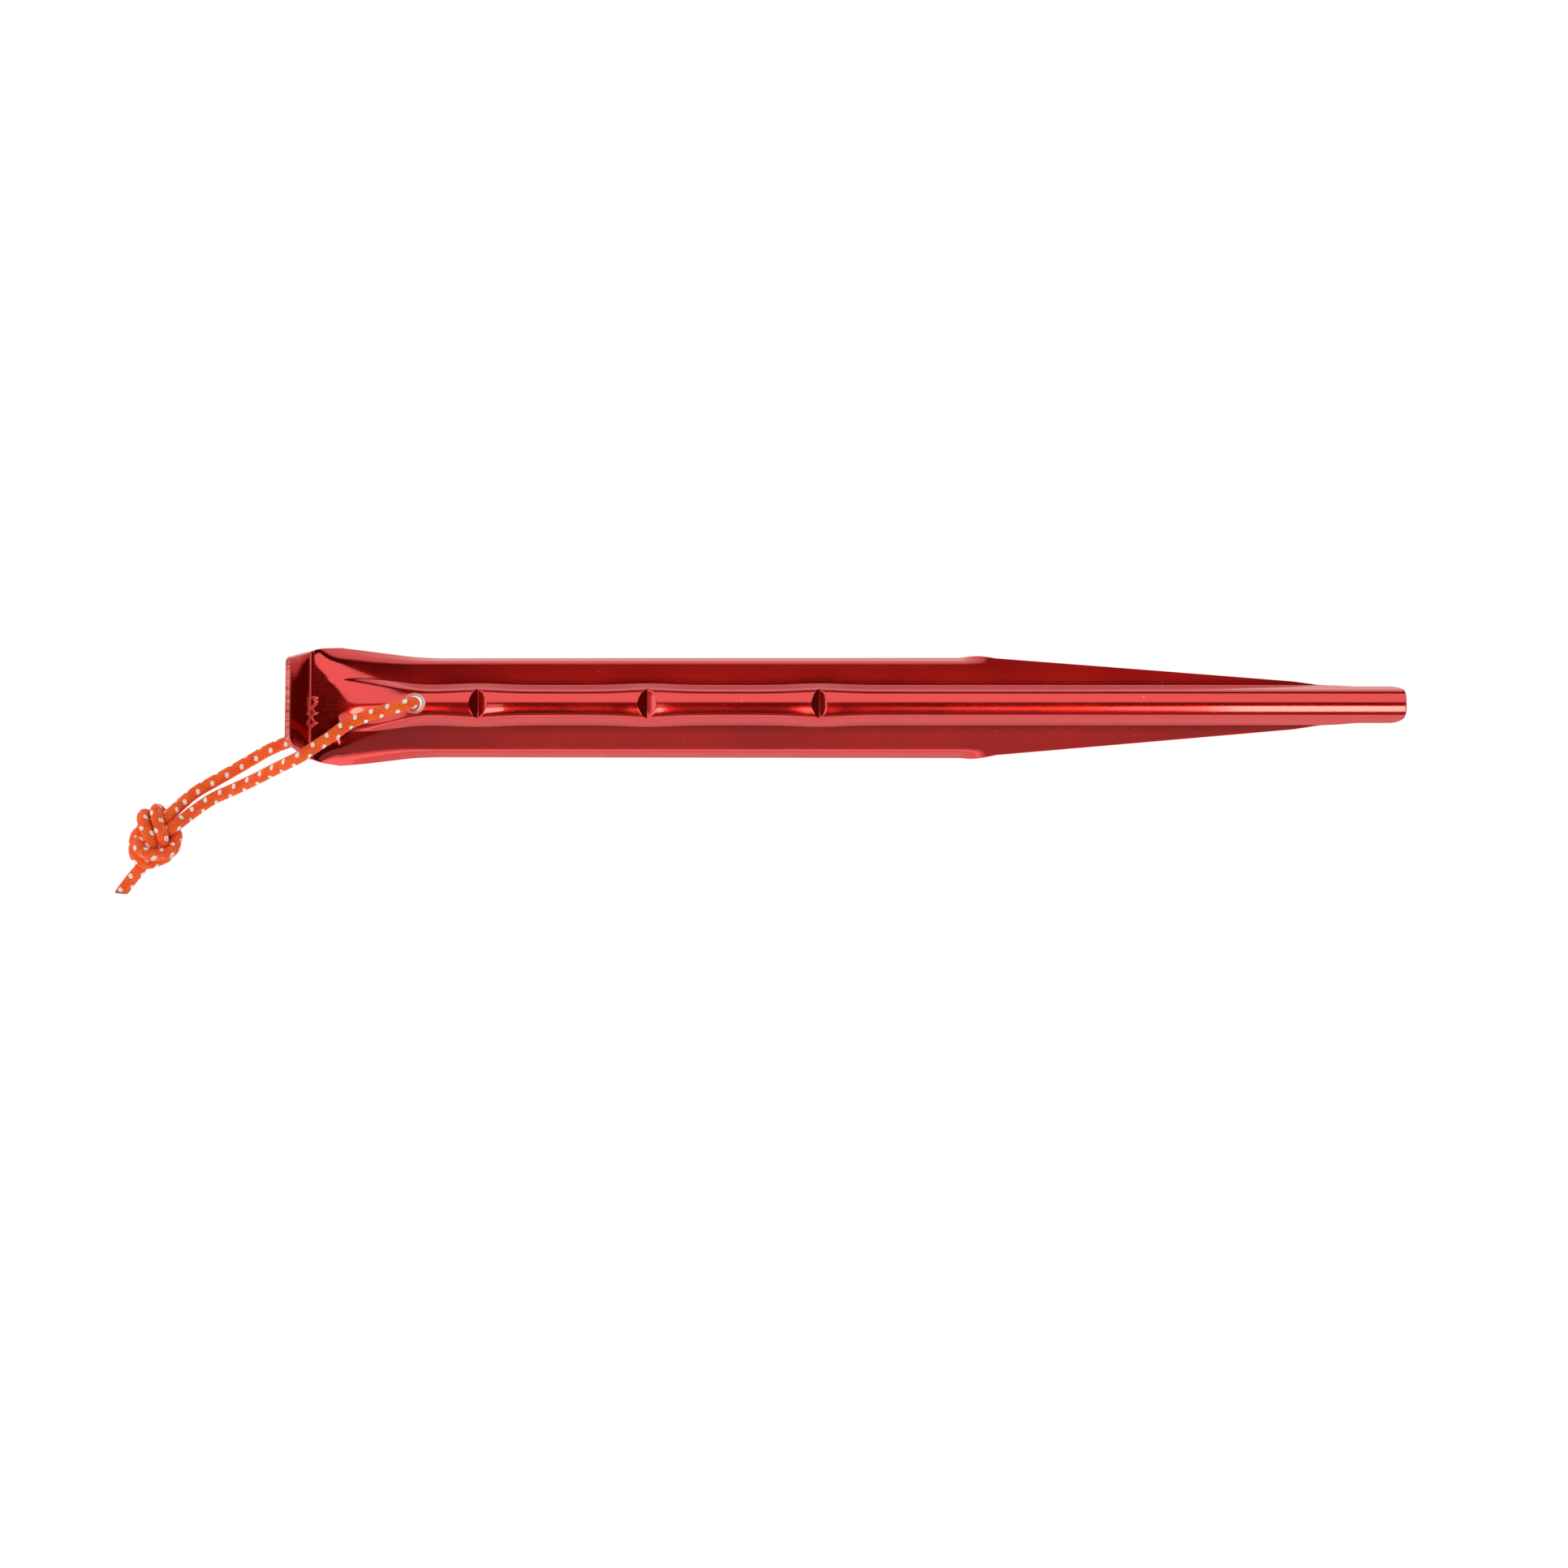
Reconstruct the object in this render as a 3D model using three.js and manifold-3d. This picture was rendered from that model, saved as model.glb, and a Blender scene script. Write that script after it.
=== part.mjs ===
// Pressed sheet-metal tent stake with a looped and knotted pull cord.
// Millimetres, +Z up. The stake lies on its two rims: +X runs from the hammering
// flange to the tip, and the origin is under the middle of its length.

import * as THREE from 'three';
import { mergeVertices } from 'three/addons/utils/BufferGeometryUtils.js';
import Module from 'manifold-3d';

// ---- driving dimensions -------------------------------------------------

const LENGTH = 180;
const THICKNESS = 1.0;

// Half of the cross-section, from the ridge line outward, along the middle of the
// sheet: each stretch has a developed length and the downward slope at its end.
const CROWN = { length: 1.51, slope: 18 };
const SHOULDER = { length: 0.46, slope: 62 };
const SIDE = { length: 1.96, slope: 62 };
const CREASE = { length: 0.54, slope: 19.5 };
const WING = { length: 3.6, slope: 22.5 };
const RIM_BEND_LENGTH = 0.8;
const RIM_LENGTH = 1.6;
const RIM_TURN = 40;
const RIDGE_HEIGHT = 6.575;

// Where the bead starts it is a low fold: narrow crown, wide flanks, hardly any side.
const FOLD_CROWN_LENGTH = 0.55;
const FLANK_SLOPE = 20;
const FOLD_SIDE_LENGTH = 0.02;

// Head: a level plate that ends in a flange, bent up and leaning outward.
const PLATE_TOP = 4.4;
const FLANGE_TOP = 11.2;
const FLANGE_SLOPE = 70;
const BEND_RADIUS = 1.3;
const FLANGE_END_HALF_WIDTH = 6.75;
const FLANGE_FLARE = 0.265;
const FLANGE_CORNER = 0.9;
const HEAD_HALF_WIDTH = 10.0;
const HEAD_WIDENS_X = -78.0;
// The blank is this much narrower at HEAD_FULL_X than where the rims start to run out.
const BODY_NARROWING = 0.22;
const PLATE_APEX_X = -80.4;
// Half of the flat triangle's base, on the +Y and on the -Y side.
const PLATE_HALF_BASE = { 1: 6.7, '-1': 4.7 };
const FOLD_X = -81.4;
const RIDGE_RISE_X = -82.0;
const RIDGE_FULL_X = -69.5;
const HEAD_FULL_X = -66.0;

// How the forming sets in from the plate on: at the blank's edge it is complete a
// little way after the bend, and from BEAD_REACH inward only where the ridge is full.
const EDGE_FORMED_AFTER = 1.2;
const BEAD_REACH = 3.3;
const INWARD_POWER = 1.7;
const FORMING_POWER = 0.65;
const RIM_POWER = 0.5;
// At the head the rim starts to turn this much nearer to the ridge line.
const HEAD_RIM_EXTRA = 1.2;

// Tail of the stake: the rims run out, the wings are cut away, the tip is rounded.
const RIM_END_X = 24;
const RIM_FADE = 6;
// Where the blank's edge is straight in between, and how much it is cut back there.
const TAPER = [
  { x: 19.5, cut: 0 },
  { x: 24, cut: 1.02 },
  { x: 72, cut: 5.3 },
  { x: 82, cut: 6.85 },
];
const TIP_ROUNDING = 3.0;
const TIP_POWER = 2.5;

// Guy-line notches pressed across the ridge, and the cord hole.
const NOTCHES = [
  { x: -59.5, halfLength: 1.55 },
  { x: -32.2, halfLength: 1.65 },
  { x: -4.5, halfLength: 1.3 },
];
const NOTCH_DEPTH = 0.62;
const NOTCH_POWER = 1.2;

// Pressing a notch spreads the bead sideways and lowers its crown on both sides of it.
// The ranges are developed distances from the ridge line: the spread grows over the
// crown and ends on the wing, and the lowering ends on the bead's side.
const SPREAD_REACH = 5;
const SPREAD_SIDEWAYS = 0.25;
const SPREAD_GROWS = [0, 2];
const SPREAD_ENDS = [4, 7];
const DIP_REACH = 3;
const DIP_DEPTH = 0.2;
const DIP_ENDS = [1, 4];

// Cord hole through the ridge, with a conical countersink.
const HOLE_X = -69.8;
const HOLE_RADIUS = 1.3;
const DRILL_HEIGHT = 6;
const COUNTERSINK_DEPTH = 0.6;
const COUNTERSINK_TOP_RADIUS = 2.9;
const COUNTERSINK_HEIGHT = 1.74;
const ROUND_SIDES = 32;

// Cord: one length through the hole, whose two legs are tied together in a knot.
// Each route is the cord's centre line, from the hole outward.
const CORD_RADIUS = 1.0;
const CORD_SIDES = 8;
const LEG_STEPS = 28;
const TAIL_STEPS = 3;
const UPPER_LEG = [
  [-69.8, 0.0, 6.05], [-69.8, 0.0, 6.65], [-70.05, -0.1, 7.3], [-70.6, -0.3, 7.85],
  [-71.3, -0.55, 8.15], [-72.3, -0.9, 8.25], [-74.9, -1.6, 8.2], [-77.5, -2.5, 8.15],
  [-80.1, -3.6, 8.15], [-82.6, -5.5, 8.4], [-85.2, -7.3, 8.7], [-86.4, -8.15, 8.8],
  [-87.5, -8.85, 8.7], [-88.7, -9.4, 8.15], [-90.1, -9.9, 7.15], [-92.4, -10.75, 5.4],
  [-94.7, -11.7, 3.95], [-97.2, -12.7, 2.7], [-99.8, -13.75, 1.8], [-102.3, -14.8, 1.4],
  [-104.4, -16.15, 1.35], [-106.3, -17.6, 1.6], [-107.6, -18.8, 2.1],
];
const LOWER_LEG = [
  [-69.8, 0.0, 5.75], [-69.8, 0.0, 5.0], [-70.1, -0.1, 4.0], [-70.9, -0.3, 2.95],
  [-72.2, -0.7, 2.0], [-74.0, -1.15, 1.4], [-76.5, -1.85, 1.1], [-79.5, -2.65, 1.05],
  [-83.0, -3.6, 1.05], [-87.0, -4.65, 1.05], [-90.9, -5.8, 1.05], [-93.8, -7.05, 1.05],
  [-96.1, -8.4, 1.05], [-98.4, -9.75, 1.05], [-100.7, -11.1, 1.05], [-103.0, -12.4, 1.05],
  [-105.4, -13.85, 1.05], [-107.6, -15.7, 1.05], [-108.6, -16.7, 1.1],
];
const TAIL = [[-114.0, -26.2, 1.05], [-115.4, -27.8, 1.05], [-117.2, -30.25, 1.05]];
const KNOT_CENTRE = [-112.2, -21.2, 2.8];
const KNOT_RADII = [3.8, 4.8, 2.8];

const RED_ANODISED = { color: 0xc01a22, roughness: 0.22, metalness: 1.0 };
const ORANGE_CORD = { color: 0xf05a23, roughness: 0.8, metalness: 0.0 };

// ---- small helpers ------------------------------------------------------

const radians = THREE.MathUtils.degToRad;
const clamp = THREE.MathUtils.clamp;
const lerp = THREE.MathUtils.lerp;
const smooth = (x, from, to) => THREE.MathUtils.smoothstep(x, from, to);

const wasm = await Module();
wasm.setup();

function toSolid(geometry) {
  const bare = geometry.clone();
  bare.deleteAttribute('normal');
  bare.deleteAttribute('uv');
  const merged = mergeVertices(bare, 1e-5);
  return new wasm.Manifold(new wasm.Mesh({
    numProp: 3,
    vertProperties: new Float32Array(merged.attributes.position.array),
    triVerts: new Uint32Array(merged.index.array),
  }));
}

function toGeometry(solid) {
  const mesh = solid.getMesh();
  const geometry = new THREE.BufferGeometry();
  geometry.setAttribute('position', new THREE.BufferAttribute(mesh.vertProperties, 3));
  geometry.setIndex(new THREE.BufferAttribute(mesh.triVerts, 1));
  geometry.computeVertexNormals();
  return geometry;
}

function addMesh(group, name, geometry, finish) {
  const mesh = new THREE.Mesh(geometry, new THREE.MeshStandardMaterial(finish));
  mesh.name = name;
  group.add(mesh);
}

// ---- the sheet's middle surface -----------------------------------------

const WING_END = [CROWN, SHOULDER, SIDE, CREASE, WING]
  .reduce((sum, part) => sum + part.length, 0);
const HALF_DEVELOPED = WING_END + RIM_BEND_LENGTH + RIM_LENGTH;
const FLANGE_TURN = radians(FLANGE_SLOPE);
const PLATE_MIDDLE = PLATE_TOP - THICKNESS / 2;
const FLANGE_LENGTH = (FLANGE_TOP - PLATE_MIDDLE - BEND_RADIUS * (1 - Math.cos(FLANGE_TURN))
  - THICKNESS / 2 * Math.cos(FLANGE_TURN)) / Math.sin(FLANGE_TURN);
const BEND_LENGTH = BEND_RADIUS * FLANGE_TURN;
const FLANGE_REACH = BEND_RADIUS * Math.sin(FLANGE_TURN) + FLANGE_LENGTH * Math.cos(FLANGE_TURN)
  + THICKNESS / 2 * Math.sin(FLANGE_TURN);
const BEND_X = -LENGTH / 2 + FLANGE_REACH;
const PLATE_START = FLANGE_LENGTH + BEND_LENGTH;

// The distance u runs along the sheet from the flange's free edge.
const uAt = (x) => PLATE_START + x - BEND_X;

// The stretches of the half section at x, from the ridge line outward.
function sectionAt(x) {
  const grown = smooth(x, FOLD_X, HEAD_FULL_X);
  const crown = lerp(FOLD_CROWN_LENGTH, CROWN.length, grown);
  const side = Math.max(FOLD_SIDE_LENGTH, SIDE.length * grown);
  return [
    { length: crown, slope: CROWN.slope },
    { length: CROWN.length + SIDE.length - crown - side, slope: FLANK_SLOPE },
    SHOULDER,
    { length: side, slope: SIDE.slope },
    CREASE,
    WING,
  ];
}

// Slope of the bead and wing at the developed distance s from the ridge line.
function beadSlope(s, section) {
  let start = 0;
  let slope = 0;
  for (const part of section) {
    if (s < start + part.length) {
      return lerp(slope, part.slope, (s - start) / part.length);
    }
    start += part.length;
    slope = part.slope;
  }
  return slope;
}

// How much of the bead and wing is formed: none on the flat plate, which is a
// triangle from the bend to its apex on the ridge line, and all of it further on.
function forming(s, x, facing) {
  const start = lerp(PLATE_APEX_X, BEND_X, Math.min(1, s / PLATE_HALF_BASE[facing]));
  const inward = clamp((HALF_DEVELOPED - s) / (HALF_DEVELOPED - BEAD_REACH), 0, 1);
  const full = lerp(BEND_X + EDGE_FORMED_AFTER, RIDGE_FULL_X, inward ** INWARD_POWER);
  const along = clamp((x - start) / (full - start), 0, 1) ** FORMING_POWER;
  return (along + smooth(along, 0, 1)) / 2;
}

function rimForming(x) {
  const atHead = clamp((x - BEND_X) / (HEAD_FULL_X - BEND_X), 0, 1) ** RIM_POWER;
  return atHead * (1 - smooth(x, RIM_END_X - RIM_FADE, RIM_END_X));
}

// Downward slope at the distance s from the ridge line, in radians, on the side that
// faces +Y (1) or -Y (-1).
function slopeAt(s, x, section, facing) {
  const start = WING_END - HEAD_RIM_EXTRA * (1 - smooth(x, HEAD_WIDENS_X, HEAD_FULL_X));
  const turned = clamp((s - start) / (WING_END + RIM_BEND_LENGTH - start), 0, 1);
  const rim = turned * RIM_TURN * rimForming(x);
  return radians(beadSlope(s, section) * forming(s, x, facing) + rim);
}

// Height of the middle surface on the ridge line.
function ridgeMiddle(x) {
  const rise = clamp((x - RIDGE_RISE_X) / (RIDGE_FULL_X - RIDGE_RISE_X), 0, 1);
  return lerp(PLATE_MIDDLE, RIDGE_HEIGHT - THICKNESS / 2, (rise + smooth(rise, 0, 1)) / 2);
}

// How near x is to the notches: 1 at a notch, falling to 0 over the reach.
const nearNotch = (x, reach) => NOTCHES.reduce(
  (sum, notch) => sum + Math.exp(-(((x - notch.x) / reach) ** 2)), 0);

// How far the sheet is pressed down at x by V-shaped notches, where its top is fall
// below the ridge line.
function notchDepth(x, fall) {
  return NOTCHES.reduce((sum, notch) => {
    const inside = Math.max(0, 1 - Math.abs(x - notch.x) / notch.halfLength);
    return sum + Math.max(0, NOTCH_DEPTH * inside ** NOTCH_POWER - fall);
  }, 0);
}

// Half of the blank's width at u, before it is pressed.
function blankHalfWidth(u) {
  const rimEnd = uAt(RIM_END_X - RIM_FADE);
  const toRimEnd = clamp((rimEnd - u) / (rimEnd - uAt(HEAD_FULL_X)), 0, 1);
  const body = lerp(HEAD_HALF_WIDTH, HALF_DEVELOPED - BODY_NARROWING * toRimEnd,
    smooth(u, uAt(HEAD_WIDENS_X), uAt(HEAD_FULL_X)));
  const cut = TAPER.slice(1).reduce((sum, to, i) => sum + (to.cut - TAPER[i].cut)
    * clamp((u - uAt(TAPER[i].x)) / (to.x - TAPER[i].x), 0, 1), 0);
  const corner = Math.max(0, FLANGE_CORNER - u);
  const rounded = FLANGE_CORNER - Math.sqrt(FLANGE_CORNER ** 2 - corner ** 2);
  const head = FLANGE_END_HALF_WIDTH + FLANGE_FLARE * u - rounded;
  const intoTip = clamp((u - uAt(LENGTH / 2 - TIP_ROUNDING)) / TIP_ROUNDING, 0, 1);
  const tip = (1 - intoTip ** TIP_POWER) ** (1 / TIP_POWER);
  return Math.min(body - cut, head) * tip;
}

// Place of the sheet's middle line at u, and the angle that it has turned upward.
function spineAt(u) {
  if (u >= PLATE_START) {
    const x = BEND_X + u - PLATE_START;
    return { x, z: ridgeMiddle(x), turn: 0 };
  }
  const turn = Math.min(FLANGE_TURN, (PLATE_START - u) / BEND_RADIUS);
  const straight = Math.max(0, FLANGE_LENGTH - u);
  return {
    x: BEND_X - BEND_RADIUS * Math.sin(turn) - straight * Math.cos(turn),
    z: PLATE_MIDDLE + BEND_RADIUS * (1 - Math.cos(turn)) + straight * Math.sin(turn),
    turn,
  };
}

// The section is followed outward in steps of ARC_STEP, and a column that is nearly at
// the blank's edge moves onto it.
const ARC_STEP = 0.05;
const EDGE_SNAP = 0.08;

// The middle of the sheet from the ridge line outward, at u and on one side.
function halfSection(u, columns, facing) {
  const { x } = spineAt(u);
  const edge = blankHalfWidth(u);
  const section = sectionAt(x);
  const spread = nearNotch(x, SPREAD_REACH) * SPREAD_SIDEWAYS;
  const lowered = nearNotch(x, DIP_REACH) * DIP_DEPTH;
  const half = [];
  let s = 0;
  let y = 0;
  let z = 0;
  for (const column of columns) {
    const target = column > edge - EDGE_SNAP ? edge : column;
    const steps = Math.ceil((target - s) / ARC_STEP);
    const ds = (target - s) / Math.max(1, steps);
    for (let step = 0; step < steps; step += 1) {
      const slope = slopeAt(s + ds / 2, x, section, facing);
      y += Math.cos(slope) * ds;
      z -= Math.sin(slope) * ds;
      s += ds;
    }
    const slope = slopeAt(s, x, section, facing);
    const fall = THICKNESS / 2 * (1 - Math.cos(slope)) - z;
    half.push({
      y: y + spread * smooth(s, ...SPREAD_GROWS) * (1 - smooth(s, ...SPREAD_ENDS)),
      z: z - lowered * (1 - smooth(s, ...DIP_ENDS)) - notchDepth(x, fall),
      slope,
    });
  }
  return half;
}

// One closed ring round the sheet at u: over the ridge side, back along the underside.
function ringAt(u, columns) {
  const spine = spineAt(u);
  const place = (point, facing, offset) => new THREE.Vector3(
    spine.x + Math.sin(spine.turn) * offset,
    facing * (point.y + Math.sin(point.slope) * offset),
    spine.z + point.z + Math.cos(spine.turn) * Math.cos(point.slope) * offset,
  );
  const left = halfSection(u, columns, -1).slice(1).reverse();
  const right = halfSection(u, columns, 1);
  const across = (offset) => [...left.map((point) => place(point, -1, offset)),
    ...right.map((point) => place(point, 1, offset))];
  return [...across(THICKNESS / 2), ...across(-THICKNESS / 2).reverse()];
}

// Joins a row of rings, each with the same number of points, into a closed solid.
function loft(rings) {
  const count = rings[0].length;
  const half = count / 2;
  const positions = rings.flat().flatMap((point) => point.toArray());
  const index = [];
  const quad = (a, b, c, d) => index.push(a, b, c, a, c, d);
  for (let ring = 0; ring + 1 < rings.length; ring += 1) {
    for (let i = 0; i < count; i += 1) {
      const next = (i + 1) % count;
      quad(ring * count + i, (ring + 1) * count + i,
        (ring + 1) * count + next, ring * count + next);
    }
  }
  const last = (rings.length - 1) * count;
  for (let i = 0; i + 1 < half; i += 1) {
    const under = count - 1 - i;
    quad(i, i + 1, under - 1, under);
    quad(last + under, last + under - 1, last + i + 1, last + i);
  }
  const geometry = new THREE.BufferGeometry();
  geometry.setAttribute('position', new THREE.Float32BufferAttribute(positions, 3));
  geometry.setIndex(index);
  return geometry;
}

// ---- pieces -------------------------------------------------------------

function spaced(from, to, count) {
  return [...Array(count + 1).keys()].map((i) => lerp(from, to, i / count));
}

// Where the rings and the columns of the sheet stand: close together where it bends.
const COLUMNS = [0, 0.6, 1.51, 1.97, 2.9, 3.93, 4.2, 4.47, 5.7, WING_END - HEAD_RIM_EXTRA,
  WING_END, WING_END + RIM_BEND_LENGTH / 2, WING_END + RIM_BEND_LENGTH, HALF_DEVELOPED];
const CORNER_RINGS = [0, 0.15, 0.45, FLANGE_CORNER];
const BEND_RINGS = 4;
const PLATE_RINGS = 4;
const BEAD_START_RINGS = 8;
const NOTCH_RINGS = [-7, -3.5, -1.65, -0.8, 0, 0.8, 1.65, 3.5, 7];
const TAPER_RINGS = [21, 22.5, 33, 42, 52, 62];
const TIP_RINGS = [0, 0.3, 0.5, 0.66, 0.79, 0.89, 0.96, 1];
// The last ring stays this share of the rounding short of the point that closes it.
const TIP_SHORT = 0.01;

function stakeBody() {
  const flange = [...CORNER_RINGS, ...spaced(FLANGE_LENGTH, PLATE_START, BEND_RINGS)];
  const head = [...spaced(BEND_X + 1, PLATE_APEX_X, PLATE_RINGS),
    ...spaced(PLATE_APEX_X, HEAD_FULL_X, BEAD_START_RINGS)];
  const notches = NOTCHES.flatMap((notch) => NOTCH_RINGS.map((offset) => notch.x + offset));
  const taper = [RIM_END_X - RIM_FADE, ...TAPER.map((corner) => corner.x), ...TAPER_RINGS];
  const tip = TIP_RINGS.map((part) => LENGTH / 2 - TIP_ROUNDING * (1 + TIP_SHORT - part));
  const along = [...head, ...notches, ...taper, ...tip].map(uAt);
  const stations = [...new Set([...flange, ...along])].sort((a, b) => a - b);
  const sheet = toSolid(loft(stations.map((u) => ringAt(u, COLUMNS))));

  const drill = new THREE.CylinderGeometry(HOLE_RADIUS, HOLE_RADIUS, DRILL_HEIGHT, ROUND_SIDES);
  const sink = new THREE.CylinderGeometry(COUNTERSINK_TOP_RADIUS, COUNTERSINK_TOP_RADIUS
    - COUNTERSINK_HEIGHT, COUNTERSINK_HEIGHT, ROUND_SIDES);
  drill.rotateX(Math.PI / 2);
  sink.rotateX(Math.PI / 2);
  drill.translate(HOLE_X, 0, RIDGE_HEIGHT);
  sink.translate(HOLE_X, 0, RIDGE_HEIGHT + COUNTERSINK_HEIGHT / 2 - COUNTERSINK_DEPTH);
  return toGeometry(sheet.subtract(toSolid(drill)).subtract(toSolid(sink)));
}

function cordAlong(route, steps) {
  const path = new THREE.CatmullRomCurve3(route.map((point) => new THREE.Vector3(...point)));
  const section = new THREE.Shape(new THREE.EllipseCurve(0, 0, CORD_RADIUS, CORD_RADIUS)
    .getPoints(CORD_SIDES).slice(0, CORD_SIDES));
  return new THREE.ExtrudeGeometry(section, { extrudePath: path, steps });
}

function knotLump() {
  const lump = new THREE.SphereGeometry(1, 16, 12);
  lump.scale(...KNOT_RADII);
  lump.translate(...KNOT_CENTRE);
  return toGeometry(toSolid(lump));
}

const group = new THREE.Group();
addMesh(group, 'stake_body', stakeBody(), RED_ANODISED);
addMesh(group, 'cord_upper_leg', cordAlong(UPPER_LEG, LEG_STEPS), ORANGE_CORD);
addMesh(group, 'cord_lower_leg', cordAlong(LOWER_LEG, LEG_STEPS), ORANGE_CORD);
addMesh(group, 'cord_knot', knotLump(), ORANGE_CORD);
addMesh(group, 'cord_tail', cordAlong(TAIL, TAIL_STEPS), ORANGE_CORD);

export default group;
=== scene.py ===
import math

import bpy
import numpy as np
from mathutils import Matrix, Vector


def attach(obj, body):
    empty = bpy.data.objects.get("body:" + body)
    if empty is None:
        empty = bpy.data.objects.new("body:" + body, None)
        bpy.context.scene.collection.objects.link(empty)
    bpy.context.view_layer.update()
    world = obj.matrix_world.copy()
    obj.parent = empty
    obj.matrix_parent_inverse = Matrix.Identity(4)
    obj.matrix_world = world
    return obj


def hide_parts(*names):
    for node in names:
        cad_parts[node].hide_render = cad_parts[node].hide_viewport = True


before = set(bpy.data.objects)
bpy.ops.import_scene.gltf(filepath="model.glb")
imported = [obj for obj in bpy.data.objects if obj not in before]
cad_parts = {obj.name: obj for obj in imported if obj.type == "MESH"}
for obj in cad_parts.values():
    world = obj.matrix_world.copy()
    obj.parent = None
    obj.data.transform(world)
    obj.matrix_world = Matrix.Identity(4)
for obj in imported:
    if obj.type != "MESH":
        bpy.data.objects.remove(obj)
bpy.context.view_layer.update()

MM = 0.001
TAU = 2 * math.pi
TINY = 1e-9

# ---- driving dimensions, in millimetres and degrees -----------------------

LENGTH = 180
THICKNESS = 1.0
HALF = THICKNESS / 2

# Half of the section from the ridge line outward: developed length, slope at its end.
CROWN = (1.51, 18)
SHOULDER = (0.46, 62)
BEAD_SIDE = (1.96, 62)
CREASE = (0.54, 19.5)
WING = (3.6, 22.5)
RIM_BEND_LENGTH = 0.8
RIM_LENGTH = 1.6
RIM_TURN = 40
RIDGE_HEIGHT = 6.575

# Where the bead starts it is a low fold: narrow crown, wide flanks, hardly any side.
FOLD_CROWN = 0.55
FLANK_SLOPE = 20
FOLD_SIDE = 0.02

# Head: a level plate that ends in a flange, bent up and leaning outward.
PLATE_TOP = 4.4
FLANGE_TOP = 11.2
FLANGE_TURN = math.radians(70)
BEND_RADIUS = 1.3
FLANGE_END_HALF_WIDTH = 6.75
FLANGE_FLARE = 0.265
FLANGE_CORNER = 0.9
HEAD_HALF_WIDTH = 10.0
HEAD_WIDENS_X = -78.0
# The blank is this much narrower at HEAD_FULL_X than where the rims start to run out.
BODY_NARROWING = 0.22
PLATE_APEX_X = -80.4
# Half of the flat triangle's base, on the +Y and on the -Y side.
PLATE_HALF_BASE = {1: 6.7, -1: 4.7}
FOLD_X = -81.4
RIDGE_RISE_X = -82.0
RIDGE_FULL_X = -69.5
HEAD_FULL_X = -66.0

# How the forming sets in from the plate on: at the blank's edge it is complete a
# little way after the bend, and from BEAD_REACH inward only where the ridge is full.
EDGE_FORMED_AFTER = 1.2
BEAD_REACH = 3.3
INWARD_POWER = 1.7
FORMING_POWER = 0.65
RIM_POWER = 0.5
# At the head the rim starts to turn this much nearer to the ridge line.
HEAD_RIM_EXTRA = 1.2

# Small wrinkles stand up inside the flange's bend, on the lines half way between these
# sites. A place there is a distance along the sheet from the start of the plate, and y.
WRINKLE_SITES = [
    (-0.3, 1.9), (-1.9, 1.2), (-0.6, 0.3), (-2.6, -0.4), (0.4, -0.7), (-0.9, -1.2),
    (-2.3, -2.0), (0.3, -2.3), (-0.7, -2.8), (-1.8, -3.4), (0.2, -3.9), (-2.8, 1.8),
]
WRINKLE_WIDTH = 0.2
WRINKLE_HEIGHT = 0.16
WRINKLES_MIDDLE = (-1.0, -1.1)
WRINKLES_REACH = (1.7, 3.1)
WRINKLES_FADE = (0.7, 1.0)
WRINKLES_END = 2

# Tail of the stake: the rims run out, the wings are cut away, the tip is rounded.
RIM_END_X = 24
RIM_FADE = 6
# Where the blank's edge is straight in between, and how much it is cut back there.
TAPER_X = [19.5, 24, 72, 82]
TAPER_CUT = [0, 1.02, 5.3, 6.85]
TIP_ROUNDING = 3.0
TIP_POWER = 2.5
# The sheet's last ring stays this far short of the rounding's end.
TIP_FLAT = 0.03
EDGE_RADIUS = 0.14

# Each notch: place along the ridge and half length.
NOTCHES = [(-59.5, 1.55), (-32.2, 1.65), (-4.5, 1.3)]
NOTCH_DEPTH = 0.62
NOTCH_POWER = 1.2

# Pressing a notch spreads the bead sideways and lowers its crown on both sides of it.
# The ranges are developed distances from the ridge line.
SPREAD_REACH = 5
SPREAD_SIDEWAYS = 0.25
SPREAD_GROWS = (0, 2)
SPREAD_ENDS = (4, 7)
DIP_REACH = 3
DIP_DEPTH = 0.2
DIP_ENDS = (1, 4)

# The cord's hole, with a conical countersink.
HOLE_X = -69.8
HOLE_RADIUS = 1.3
SINK_RADIUS = 1.9
SINK_DEPTH = 0.6

CORD_RADIUS = 1.0
# The same routes as in the CAD part: each leg's centre line from the hole outward.
UPPER_LEG = [
    (-69.8, 0.0, 6.05), (-69.8, 0.0, 6.65), (-70.05, -0.1, 7.3), (-70.6, -0.3, 7.85),
    (-71.3, -0.55, 8.15), (-72.3, -0.9, 8.25), (-74.9, -1.6, 8.2), (-77.5, -2.5, 8.15),
    (-80.1, -3.6, 8.15), (-82.6, -5.5, 8.4), (-85.2, -7.3, 8.7), (-86.4, -8.15, 8.8),
    (-87.5, -8.85, 8.7), (-88.7, -9.4, 8.15), (-90.1, -9.9, 7.15), (-92.4, -10.75, 5.4),
    (-94.7, -11.7, 3.95), (-97.2, -12.7, 2.7), (-99.8, -13.75, 1.8), (-102.3, -14.8, 1.4),
    (-104.4, -16.15, 1.35), (-106.3, -17.6, 1.6), (-107.6, -18.8, 2.1),
]
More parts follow.
